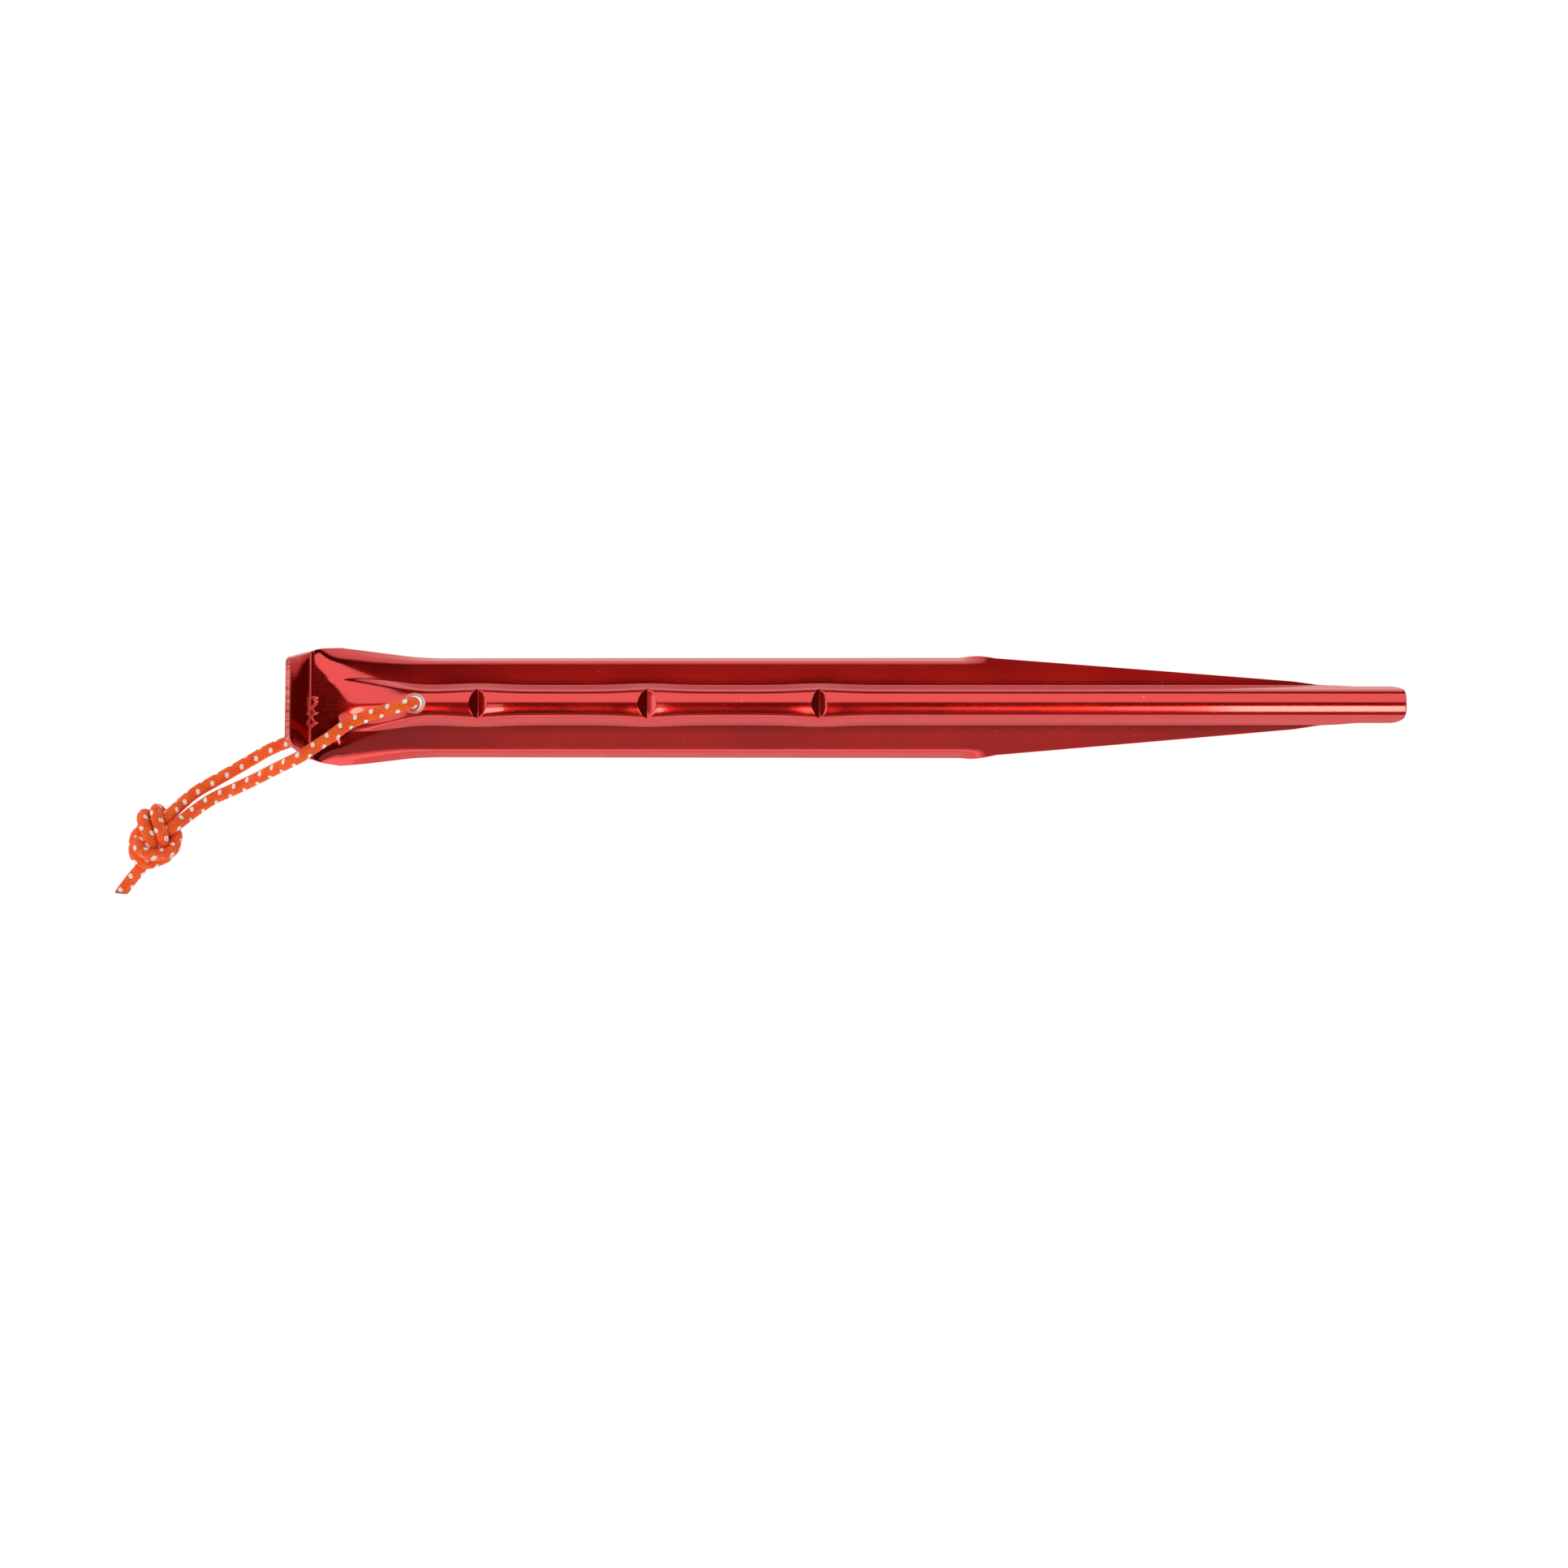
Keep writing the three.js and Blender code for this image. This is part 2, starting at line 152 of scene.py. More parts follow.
LOWER_LEG = [
    (-69.8, 0.0, 5.75), (-69.8, 0.0, 5.0), (-70.1, -0.1, 4.0), (-70.9, -0.3, 2.95),
    (-72.2, -0.7, 2.0), (-74.0, -1.15, 1.4), (-76.5, -1.85, 1.1), (-79.5, -2.65, 1.05),
    (-83.0, -3.6, 1.05), (-87.0, -4.65, 1.05), (-90.9, -5.8, 1.05), (-93.8, -7.05, 1.05),
    (-96.1, -8.4, 1.05), (-98.4, -9.75, 1.05), (-100.7, -11.1, 1.05),
    (-103.0, -12.4, 1.05), (-105.4, -13.85, 1.05), (-107.6, -15.7, 1.05),
    (-108.6, -16.7, 1.1),
]
TAIL = [(-114.0, -26.2, 1.05), (-115.4, -27.8, 1.05), (-117.2, -30.25, 1.05)]


# ---- small helpers --------------------------------------------------------

def lerp(a, b, t):
    return a + (b - a) * t


def ramp(x, start, end):
    """0 up to start, 1 from end on, and straight in between."""
    return np.clip((x - start) / (end - start), 0, 1)


def smooth(x, start, end):
    """As ramp, with rounded corners."""
    t = ramp(x, start, end)
    return t * t * (3 - 2 * t)


def mesh_object(name, points, faces):
    """A smooth-shaded mesh from points in millimetres."""
    mesh = bpy.data.meshes.new(name)
    mesh.from_pydata((np.asarray(points) * MM).tolist(), [], faces)
    mesh.polygons.foreach_set("use_smooth", [True] * len(mesh.polygons))
    mesh.update()
    piece = bpy.data.objects.new(name, mesh)
    bpy.context.scene.collection.objects.link(piece)
    return piece


# ---- camera ---------------------------------------------------------------

CAMERA_DISTANCE = 700
CAMERA_TILT = math.radians(6.5)
CAMERA_AIM = (-10.2, -12.37, 0)
PICTURE_WIDTH_AT_AIM = 254.06
SENSOR = 36
CLIP_START = 10


def make_camera():
    data = bpy.data.cameras.new("camera")
    data.sensor_width = SENSOR
    data.lens = SENSOR * CAMERA_DISTANCE / PICTURE_WIDTH_AT_AIM
    data.clip_start = CLIP_START * MM
    camera = bpy.data.objects.new("camera", data)
    bpy.context.scene.collection.objects.link(camera)
    back = Vector((0, -math.sin(CAMERA_TILT), math.cos(CAMERA_TILT)))
    camera.location = (Vector(CAMERA_AIM) + back * CAMERA_DISTANCE) * MM
    camera.rotation_euler = (CAMERA_TILT, 0, 0)
    bpy.context.scene.camera = camera


# ---- cord -----------------------------------------------------------------

RING_STEP = 0.13
RING_SIDES = 40
SPLINE_STEPS = 40
BRAID_STRANDS = 8
BRAID_RELIEF = 0.07
# How high a strand of the braid stands where it dives under the next one.
STRAND_END_HEIGHT = 0.75
UPPER_TWIST = math.radians(45)
LOWER_TWIST = math.radians(-35)
# A free end is cut at a slant, further out towards CUT_DIRECTION, and its fibres are
# melted together: pinched and singed close to the cut.
CUT_SLANT = 0.45
CUT_REACH = 0.9
CUT_DIRECTION = np.array([-0.8, 0.6, 0.0])
PINCH = 0.2
PINCH_REACH = 0.15
SINGE_REACH = 0.22

KNOT_CENTRE = np.array([-112.2, -21.2, 0.0])
# Each strand's way through the knot, relative to KNOT_CENTRE: in under the wraps, round
# the left and the bottom, under the legs at the right, over the top, and out beneath.
UPPER_KNOT = [
    (3.0, 1.2, 3.0), (1.7, 0.3, 2.7), (0.4, -0.2, 1.9), (-0.8, -0.6, 1.8),
    (-1.3, -1.4, 2.6), (-0.7, -2.1, 3.3), (0.6, -2.3, 3.5), (1.9, -1.7, 3.4),
    (2.4, -0.7, 2.8), (2.4, 0.6, 1.5), (2.4, 1.8, 1.05), (2.1, 3.0, 1.2),
    (1.6, 3.7, 2.3), (1.15, 3.3, 3.9), (1.35, 2.2, 4.7), (1.7, 0.9, 4.6),
    (2.0, -0.3, 4.0), (2.1, -1.2, 2.9), (1.9, -2.0, 1.8), (1.5, -2.6, 1.2),
]
LOWER_KNOT = [
    (2.2, 3.0, 2.7), (0.8, 2.0, 2.7), (-0.6, 1.2, 2.1), (-1.9, 0.6, 1.9),
    (-2.8, -0.7, 2.3), (-2.5, -2.3, 2.7), (-1.3, -3.4, 2.7), (0.3, -3.7, 2.3),
    (1.6, -3.2, 1.5), (1.9, -2.3, 1.05), (1.2, -0.9, 1.0), (0.6, 0.6, 1.0),
    (0.2, 2.0, 1.05), (-0.4, 3.0, 1.6), (-0.9, 2.7, 3.0), (-0.85, 1.8, 4.3),
    (-0.35, 0.8, 4.7), (0.2, -0.3, 4.3), (0.4, -1.4, 2.9), (0.0, -2.6, 1.3), (-0.8, -3.8, 1.05),
]
# The knot's strands are eased apart in rounds. Each round takes out these shares of how
# far two strands press into each other and of how sharply a strand bends.
KNOT_STEP = 0.4
KNOT_ROUNDS = 260
PRESS_SHARE = 0.18
BEND_SHARE = 0.35
# So many points along one strand may lie closer together than the cord is thick.
OWN_NEIGHBOURS = 7
GROUND_GAP = 0.03
# The legs' last few points and the tail's first one move along with the knot.
LOOSE_LEG_POINTS = 3
LOOSE_TAIL_POINTS = 1


def curve_through(points, step):
    """Points about step apart on a Catmull-Rom curve through the given points."""
    points = np.asarray(points, float)
    padded = np.vstack([2 * points[0] - points[1], points, 2 * points[-1] - points[-2]])
    fine = []
    for a, b, c, d in zip(padded[:-3], padded[1:-2], padded[2:-1], padded[3:]):
        t = np.linspace(0, 1, SPLINE_STEPS, endpoint=False)[:, None]
        fine.append(0.5 * (2 * b + (c - a) * t + (2 * a - 5 * b + 4 * c - d) * t ** 2
                           + (3 * b - a - 3 * c + d) * t ** 3))
    return evenly(np.vstack([*fine, points[-1:]]), step)


def evenly(line, step):
    """The same line with its points about step apart."""
    along = np.concatenate([[0], np.cumsum(np.linalg.norm(np.diff(line, axis=0), axis=1))])
    count = max(2, round(along[-1] / step))
    at = np.linspace(0, along[-1], count + 1)
    return np.stack([np.interp(at, along, line[:, k]) for k in range(3)], axis=1)


def settle(strands, fixed):
    """Pushes strands that press into each other apart until they lie side by side.

    strands are lines of evenly spaced points, and fixed says which points stay."""
    joined = np.vstack(strands)
    held = np.concatenate(fixed)
    owner = np.concatenate([np.full(len(s), i) for i, s in enumerate(strands)])
    order = np.arange(len(joined))
    near_on_line = (owner[:, None] == owner) & (abs(order[:, None] - order) < OWN_NEIGHBOURS)
    for _ in range(KNOT_ROUNDS):
        gap = joined[:, None] - joined
        far = np.linalg.norm(gap, axis=2) + TINY
        press = np.where(near_on_line, 0, np.clip(2 * CORD_RADIUS - far, 0, None))
        push = (gap / far[..., None] * press[..., None]).sum(1) * PRESS_SHARE
        bend = np.zeros_like(joined)
        bend[1:-1] = (joined[:-2] + joined[2:]) / 2 - joined[1:-1]
        ends = np.flatnonzero(np.diff(owner))
        bend[ends] = 0
        bend[ends + 1] = 0
        moved = joined + np.where(held[:, None], 0, push + bend * BEND_SHARE)
        moved[:, 2] = np.maximum(moved[:, 2], CORD_RADIUS + GROUND_GAP)
        joined = np.where(held[:, None], joined, moved)
    return [joined[owner == i] for i in range(len(strands))]


def whole_cord():
    """The centre lines of the cord's two halves, from the hole to their ends, each with
    the ring number at which its leg ends, and the ring at which the tail starts."""
    knots = [KNOT_CENTRE + np.array(path) for path in (UPPER_KNOT, LOWER_KNOT)]
    upper = curve_through([*UPPER_LEG, *knots[0]], KNOT_STEP)
    lower = curve_through([*LOWER_LEG, *knots[1], *TAIL], KNOT_STEP)
    order = np.arange(len(lower))
    last_upper = nearest(upper, UPPER_LEG[-1]) - LOOSE_LEG_POINTS
    last_lower = nearest(lower, LOWER_LEG[-1]) - LOOSE_LEG_POINTS
    first_tail = nearest(lower, TAIL[0]) + LOOSE_TAIL_POINTS
    fixed_upper = np.arange(len(upper)) <= last_upper
    fixed_lower = (order <= last_lower) | (order >= first_tail)
    upper, lower = settle([upper, lower], [fixed_upper, fixed_lower])
    upper = curve_through(upper, RING_STEP)
    lower = curve_through(lower, RING_STEP)
    return ((upper, nearest(upper, UPPER_LEG[-1])), (lower, nearest(lower, LOWER_LEG[-1])),
            nearest(lower, TAIL[0]))


def nearest(line, point):
    """The number of the line's point that is nearest to a given one."""
    return int(np.linalg.norm(line - np.asarray(point, float), axis=1).argmin())


def cord_frames(line):
    """The direction of the line at each point, and two unit vectors across it, which
    are carried along without twist."""
    tangent = np.gradient(line, axis=0)
    tangent /= np.linalg.norm(tangent, axis=1)[:, None]
    side = np.cross(tangent[0], (1.0, 0, 0))
    side /= np.linalg.norm(side)
    first = []
    for t in tangent:
        side = side - t * side.dot(t)
        side /= np.linalg.norm(side)
        first.append(side)
    first = np.array(first)
    return tangent, first, np.cross(tangent, first)


def braid_height(along, turn):
    """Height of the braid's surface, 0 between strands and 1 on top of one."""
    helix = along / (TAU * CORD_RADIUS)
    one = BRAID_STRANDS * (turn + helix)
    other = BRAID_STRANDS * (turn - helix)
    over = (np.floor(one) + np.floor(other)) % 2 == 0
    across = np.where(over, one, other) % 1
    length = np.where(over, other, one) % 1
    arch = lerp(STRAND_END_HEIGHT, 1, np.sin(math.pi * length))
    return (1 - (2 * across - 1) ** 2) * arch


def tube(name, line, first_ring, last_ring, cut_end, twist):
    """A braided tube along part of a line. The braid and the frames run on through the
    whole line, so that neighbouring stretches meet. cut_end closes its far end."""
    along = np.arange(len(line)) * np.linalg.norm(line[1] - line[0])
    tangent, side, up = cord_frames(line)
    turn = np.arange(RING_SIDES) / RING_SIDES
    rings = np.arange(first_ring, last_ring + 1)
    height = braid_height(along[rings][:, None], turn[None, :])
    from_cut = (along[last_ring] - along[rings])[:, None]
    pinch = 1 - PINCH * np.exp(-from_cut / PINCH_REACH) if cut_end else 1
    radius = (CORD_RADIUS - BRAID_RELIEF + BRAID_RELIEF * height) * pinch
    angle = TAU * turn + twist
    outward = (np.cos(angle)[:, None] * side[rings][:, None]
               + np.sin(angle)[:, None] * up[rings][:, None])
    points = line[rings][:, None] + radius[..., None] * outward
    if cut_end:
        shear = CUT_SLANT * (outward @ CUT_DIRECTION) * np.exp(-from_cut / CUT_REACH)
        points = points + shear[..., None] * tangent[rings][:, None]
    points = points.reshape(-1, 3)
    faces = []
    for base in range(0, (len(rings) - 1) * RING_SIDES, RING_SIDES):
        for k in range(RING_SIDES):
            following = (k + 1) % RING_SIDES
            faces.append((base + k, base + following,
                          base + RING_SIDES + following, base + RING_SIDES + k))
    last = (len(rings) - 1) * RING_SIDES
    faces.append(tuple(reversed(range(RING_SIDES))))
    faces.append(tuple(last + k for k in range(RING_SIDES)))
    piece = mesh_object(name, points, faces)
    lay_out_cord(piece, along[rings], height, from_cut[:, 0] if cut_end else None)
    return piece


def lay_out_cord(piece, along, height, from_cut):
    """Gives each corner its place on the cord (mm along it, turns round it), and each
    point the braid's height and how near it is to a melted end."""
    mesh = piece.data
    layer = mesh.uv_layers.new(name="cord")
    around = np.zeros(len(mesh.loops) * 2)
    vertices = np.zeros(len(mesh.loops), int)
    mesh.loops.foreach_get("vertex_index", vertices)
    ring = vertices // RING_SIDES
    side = vertices % RING_SIDES
    starts = np.repeat([p.loop_start for p in mesh.polygons],
                       [p.loop_total for p in mesh.polygons])
    closes_turn = (side[starts] != 0) | (np.roll(side, 1) == RING_SIDES - 1)
    wraps = (side == 0) & closes_turn
    around[0::2] = along[ring]
    around[1::2] = side / RING_SIDES + wraps
    layer.data.foreach_set("uv", around)
    relief = mesh.attributes.new("relief", "FLOAT", "POINT")
    relief.data.foreach_set("value", height.ravel())
    singe = mesh.attributes.new("singe", "FLOAT", "POINT")
    near = np.zeros(len(along)) if from_cut is None else np.exp(-from_cut / SINGE_REACH)
    singe.data.foreach_set("value", np.repeat(near, RING_SIDES))


def join(name, pieces):
    """Makes one piece of several, with the given name."""
    with bpy.context.temp_override(active_object=pieces[0], selected_editable_objects=pieces):
        bpy.ops.object.join()
    pieces[0].name = name
    pieces[0].data.name = name
    return pieces[0]


def make_cords(material):
    """The cord's two legs, its knot and its tail."""
    (upper, upper_leg_end), (lower, lower_leg_end), tail_start = whole_cord()
    upper_leg = tube("cord_upper_leg_braid", upper, 0, upper_leg_end, False, UPPER_TWIST)
    lower_leg = tube("cord_lower_leg_braid", lower, 0, lower_leg_end, False, LOWER_TWIST)
    tail = tube("cord_tail_braid", lower, tail_start, len(lower) - 1, True, LOWER_TWIST)
    knot = join("cord_knot_braid", [
        tube("knot_a", upper, upper_leg_end, len(upper) - 1, True, UPPER_TWIST),
        tube("knot_b", lower, lower_leg_end, tail_start, False, LOWER_TWIST),
    ])
    stands_for = {upper_leg: "cord_upper_leg", lower_leg: "cord_lower_leg",
                  tail: "cord_tail", knot: "cord_knot"}
    for piece, node in stands_for.items():
        piece.data.materials.clear()
        piece.data.materials.append(material)
        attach(piece, "root")
        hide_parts(node)


# ---- the stake's sheet ----------------------------------------------------

WING_END = sum(length for length, _ in (CROWN, SHOULDER, BEAD_SIDE, CREASE, WING))
HALF_DEVELOPED = WING_END + RIM_BEND_LENGTH + RIM_LENGTH
PLATE_MIDDLE = PLATE_TOP - HALF
FLANGE_LENGTH = (FLANGE_TOP - PLATE_MIDDLE - BEND_RADIUS * (1 - math.cos(FLANGE_TURN))
                 - HALF * math.cos(FLANGE_TURN)) / math.sin(FLANGE_TURN)
BEND_LENGTH = BEND_RADIUS * FLANGE_TURN
FLANGE_REACH = (BEND_RADIUS * math.sin(FLANGE_TURN) + FLANGE_LENGTH * math.cos(FLANGE_TURN)
                + HALF * math.sin(FLANGE_TURN))
BEND_X = -LENGTH / 2 + FLANGE_REACH
PLATE_START = FLANGE_LENGTH + BEND_LENGTH
# Distances from the ridge line between which the section is added up.
GRID_POINTS = 500
GRID = np.linspace(0, HALF_DEVELOPED, GRID_POINTS)


def u_at(x):
    """The distance along the sheet from the flange's free edge."""
    return PLATE_START + x - BEND_X


HOLE_U = u_at(HOLE_X)


def forming(s, x, facing):
    """How much of the bead and wing is formed: none on the flat plate, which is a
    triangle from the bend to its apex on the ridge line, and all of it further on."""
    start = lerp(PLATE_APEX_X, BEND_X, np.minimum(1, s / PLATE_HALF_BASE[facing]))
    inward = np.clip((HALF_DEVELOPED - s) / (HALF_DEVELOPED - BEAD_REACH), 0, 1)
    full = lerp(BEND_X + EDGE_FORMED_AFTER, RIDGE_FULL_X, inward ** INWARD_POWER)
    along = ramp(x, start, full) ** FORMING_POWER
    return (along + smooth(along, 0, 1)) / 2


def rim_forming(x):
    at_head = ramp(x, BEND_X, HEAD_FULL_X) ** RIM_POWER
    return at_head * (1 - smooth(x, RIM_END_X - RIM_FADE, RIM_END_X))


def slope_at(s, x, facing):
    """Downward slope of the sheet's middle at s from the ridge, in radians, on the side
    that faces +Y (1) or -Y (-1)."""
    grown = smooth(x, FOLD_X, HEAD_FULL_X)
    crown = lerp(FOLD_CROWN, CROWN[0], grown)
    side = max(FOLD_SIDE, BEAD_SIDE[0] * grown)
    flank = CROWN[0] + BEAD_SIDE[0] - crown - side
    lengths = [0, crown, flank, SHOULDER[0], side, CREASE[0], WING[0]]
    slopes = [0, CROWN[1], FLANK_SLOPE, SHOULDER[1], BEAD_SIDE[1], CREASE[1], WING[1]]
    bead = np.interp(s, np.cumsum(lengths), slopes) * forming(s, x, facing)
    rim_start = WING_END - HEAD_RIM_EXTRA * (1 - smooth(x, HEAD_WIDENS_X, HEAD_FULL_X))
    rim = RIM_TURN * rim_forming(x) * ramp(s, rim_start, WING_END + RIM_BEND_LENGTH)
    return np.radians(bead + rim)


def ridge_middle(x):
    """Height of the sheet's middle on the ridge line."""
    rise = ramp(x, RIDGE_RISE_X, RIDGE_FULL_X)
    return lerp(PLATE_MIDDLE, RIDGE_HEIGHT - HALF, (rise + smooth(rise, 0, 1)) / 2)


def spine_at(u):
    """Place of the middle of the sheet at u, and how far it has turned upward."""
    if u >= PLATE_START:
        x = BEND_X + u - PLATE_START
        return x, float(ridge_middle(x)), 0.0
    turn = min(FLANGE_TURN, (PLATE_START - u) / BEND_RADIUS)
    straight = max(0.0, FLANGE_LENGTH - u)
    return (BEND_X - BEND_RADIUS * math.sin(turn) - straight * math.cos(turn),
            PLATE_MIDDLE + BEND_RADIUS * (1 - math.cos(turn)) + straight * math.sin(turn), turn)


def edge_at(u):
    """Half of the blank's width at u, and how much the tip's rounding narrows it."""
    widening = float(smooth(u, u_at(HEAD_WIDENS_X), u_at(HEAD_FULL_X)))
    to_rim_end = 1 - float(ramp(u, u_at(HEAD_FULL_X), u_at(RIM_END_X - RIM_FADE)))
    body = lerp(HEAD_HALF_WIDTH, HALF_DEVELOPED - BODY_NARROWING * to_rim_end, widening)
    cut_back = float(np.interp(u, [u_at(x) for x in TAPER_X], TAPER_CUT))
    corner = max(0.0, FLANGE_CORNER - u)
    rounded = FLANGE_CORNER - math.sqrt(FLANGE_CORNER ** 2 - corner ** 2)
    head = FLANGE_END_HALF_WIDTH + FLANGE_FLARE * u - rounded
    into_tip = float(ramp(u, u_at(LENGTH / 2 - TIP_ROUNDING), u_at(LENGTH / 2)))
    return min(body - cut_back, head), (1 - into_tip ** TIP_POWER) ** (1 / TIP_POWER)


def near_notch(x, reach):
    """How near x is to the notches: 1 at a notch, falling to 0 over the reach."""
    return sum(math.exp(-((x - at) / reach) ** 2) for at, _ in NOTCHES)


def notch_press(x, fall):
    """How far V-shaped notches press the sheet down at x, where its top lies fall below
    the ridge line."""
    shares = [max(0, 1 - abs(x - at) / half_length) for at, half_length in NOTCHES]
    return sum(np.clip(NOTCH_DEPTH * share ** NOTCH_POWER - fall, 0, None) for share in shares)


def wrinkle_height(u, y):
    """How far the wrinkles inside the bend stand up."""
    along = u - PLATE_START
    far = np.sort([np.hypot(along - a, y - b) for a, b in WRINKLE_SITES], axis=0)
    line = np.exp(-((far[1] - far[0]) / WRINKLE_WIDTH) ** 2)
    inside_u = WRINKLES_REACH[0] - abs(along - WRINKLES_MIDDLE[0])
    inside_y = WRINKLES_REACH[1] - np.abs(y - WRINKLES_MIDDLE[1])
    patch = smooth(inside_y, 0, WRINKLES_FADE[1]) * smooth(inside_u, 0, WRINKLES_FADE[0])
    return line * patch * WRINKLE_HEIGHT


def sheet_points(u, s, offset):
    """Points of the sheet at u, at signed distances s from the ridge line, and offset
    from the sheet's middle towards the ridge side."""
    x, spine_z, turn = spine_at(u)
    far = np.abs(s)
    side = np.where(s < 0, -1, 1)
    y, z, slope = np.zeros((3, len(s)))
    for facing in (1, -1):
        here = side == facing
        slopes = slope_at(GRID, x, facing)
        middle = (slopes[1:] + slopes[:-1]) / 2
        run = np.concatenate([[0], np.cumsum(np.cos(middle) * GRID[1])])
        fall = np.concatenate([[0], np.cumsum(np.sin(middle) * GRID[1])])
        y[here] = np.interp(far[here], GRID, run)
        z[here] = -np.interp(far[here], GRID, fall)
        slope[here] = np.interp(far[here], GRID, slopes)
    pressed = notch_press(x, HALF * (1 - np.cos(slope)) - z)
    dip = near_notch(x, DIP_REACH) * DIP_DEPTH * (1 - smooth(far, *DIP_ENDS))
    spread = smooth(far, *SPREAD_GROWS) * (1 - smooth(far, *SPREAD_ENDS))
    z = z - dip - pressed
    y = y + near_notch(x, SPREAD_REACH) * SPREAD_SIDEWAYS * spread
    if u < PLATE_START + WRINKLES_END:
        offset = offset + wrinkle_height(u, side * y) * (offset > 0)
    return np.stack([x + math.sin(turn) * offset,
                     side * (y + np.sin(slope) * offset),
                     spine_z + z + math.cos(turn) * np.cos(slope) * offset], axis=-1)


# ---- the stake's mesh -----------------------------------------------------

# How close together the rings lie. The bend's fine stretch starts before the bend and
# ends on the plate, and each notch's reaches a little past the notch on both sides.
BEND_LEAD = 1.2
BEND_TAIL = 0.4
NOTCH_MARGIN = 0.4
NOTCH_RINGS = 44
BODY_RING_GAP = 0.45
LEAST_BODY_RINGS = 6
PLAIN_BODY_X = 6
RIM_RUN_OUT_X = (17, 26)
TIP_RINGS = 26
# Columns on each half of the sheet: near the ridge, from there to the edge, and round
# the edge itself.
RIDGE_COLUMNS_END = 3.0
RIDGE_COLUMNS = 30
WING_COLUMNS = 48
EDGE_COLUMNS = 4
# The cells of the grid round the hole, which rows of their own take the place of.
HOLE_BLOCK_HALF_LENGTH = 2.45
HOLE_BLOCK_HALF_WIDTH = 2.95
HOLE_ROWS = 12
# Where the countersink's top is looked for, past its own radius, and in how many halvings.
SINK_SEARCH = 0.2
SINK_HALVINGS = 18
# Rows down the countersink: the share of its depth, and how far the row is eased down.
SINK_ROWS = [(0.1, 0.03), (0.4, 0), (0.75, 0), (1.0, 0.02)]
BORE_ROWS = [0.33, 0.66]


def stations():
    """Distances along the sheet at which it gets a ring, close together where it bends."""
    tip_start = LENGTH / 2 - TIP_ROUNDING
    # Where each stretch of the sheet ends, and how many rings it has.
    stretches = [(EDGE_RADIUS, 5), (FLANGE_CORNER, 7), (FLANGE_LENGTH - BEND_LEAD, 16),
                 (PLATE_START + BEND_TAIL, 36), (u_at(HEAD_FULL_X), 100)]
    for at, half_length in NOTCHES:
        plain = u_at(at) - stretches[-1][0]
        rings = max(LEAST_BODY_RINGS, round(plain / BODY_RING_GAP))
        stretches.append((u_at(at - half_length - NOTCH_MARGIN), rings))
        stretches.append((u_at(at + half_length + NOTCH_MARGIN), NOTCH_RINGS))
    stretches += [(u_at(PLAIN_BODY_X), 24), (u_at(RIM_RUN_OUT_X[0]), 12),
                  (u_at(RIM_RUN_OUT_X[1]), 20), (u_at(tip_start), 90)]
    start = 0
    placed = []
    for end, rings in stretches:
        placed.append(np.linspace(start, end, rings, endpoint=False))
        start = end
    last_angle = math.asin(1 - TIP_FLAT / TIP_ROUNDING)
    rounded = tip_start + TIP_ROUNDING * np.sin(np.linspace(0, last_angle, TIP_RINGS))
    return np.concatenate([*placed, u_at(rounded)])


def ring_columns(u):
    """Signed distances and offsets round the sheet at u: over the top, then back under."""
    edge, narrowing = edge_at(u)
    inner = np.linspace(0, RIDGE_COLUMNS_END, RIDGE_COLUMNS, endpoint=False)
    share = np.linspace(0, 1, WING_COLUMNS)
    outer = RIDGE_COLUMNS_END + share * (edge - EDGE_RADIUS - RIDGE_COLUMNS_END)
    half = np.concatenate([inner, outer])
    from_end = min(u, u_at(LENGTH / 2 - TIP_FLAT) - u, EDGE_RADIUS)
    thinning = EDGE_RADIUS - math.sqrt(max(0.0, EDGE_RADIUS ** 2 - (EDGE_RADIUS - from_end) ** 2))
    turn = np.linspace(math.pi / 2, 0, EDGE_COLUMNS + 1)[1:]
    round_s = edge - EDGE_RADIUS + EDGE_RADIUS * np.cos(turn)
    round_offset = HALF - EDGE_RADIUS + EDGE_RADIUS * np.sin(turn)
    top_s = np.concatenate([half, round_s]) * narrowing
    top_offset = np.concatenate([np.full(len(half), HALF), round_offset]) - thinning
    s = np.concatenate([-top_s[:0:-1], top_s])
    offset = np.concatenate([top_offset[:0:-1], top_offset])
    return np.concatenate([s, s[::-1]]), np.concatenate([offset, -offset[::-1]])


def add_row(points, row):
    """Adds a row to the list of points and returns the new points' numbers."""
    start = len(points)
    points.extend(row)
    return list(range(start, len(points)))


def stitched(rows, flipped=False):
    """Faces between each closed row of points and the next."""
    faces = []
    for one, two in zip(rows[:-1], rows[1:]):
        for k in range(len(one)):
            following = (k + 1) % len(one)
            quad = (one[k], one[following], two[following], two[k])
            faces.append(quad[::-1] if flipped else quad)
    return faces


def end_faces(first, count):
    """Faces that fill the ring of count points that starts at number first."""
    return [(first + k, first + k + 1, first + count - 2 - k, first + count - 1 - k)
            for k in range(count // 2 - 1)]


def grid_faces(us, count, block):
    """The grid's faces but for those of the hole's block, and the numbers of the faces
    that are the sides of the flange."""
    first_ring, last_ring, first_column, last_column = block
    sides = (count // 2 - 1, count - 1)
    faces = []
    flange_sides = []
    for ring in range(len(us) - 1):
        near = ring * count
        far = near + count
        for k in range(count):
            # The cell's column on the top of the sheet, whichever side the cell is on.
            column = min(k, count - 2 - k)
            if first_ring <= ring < last_ring and first_column <= column < last_column:
                continue
            if us[ring] < PLATE_START and k in sides:
                flange_sides.append(len(faces))
            following = (k + 1) % count
            faces.append((near + k, far + k, far + following, near + following))
    return faces, flange_sides


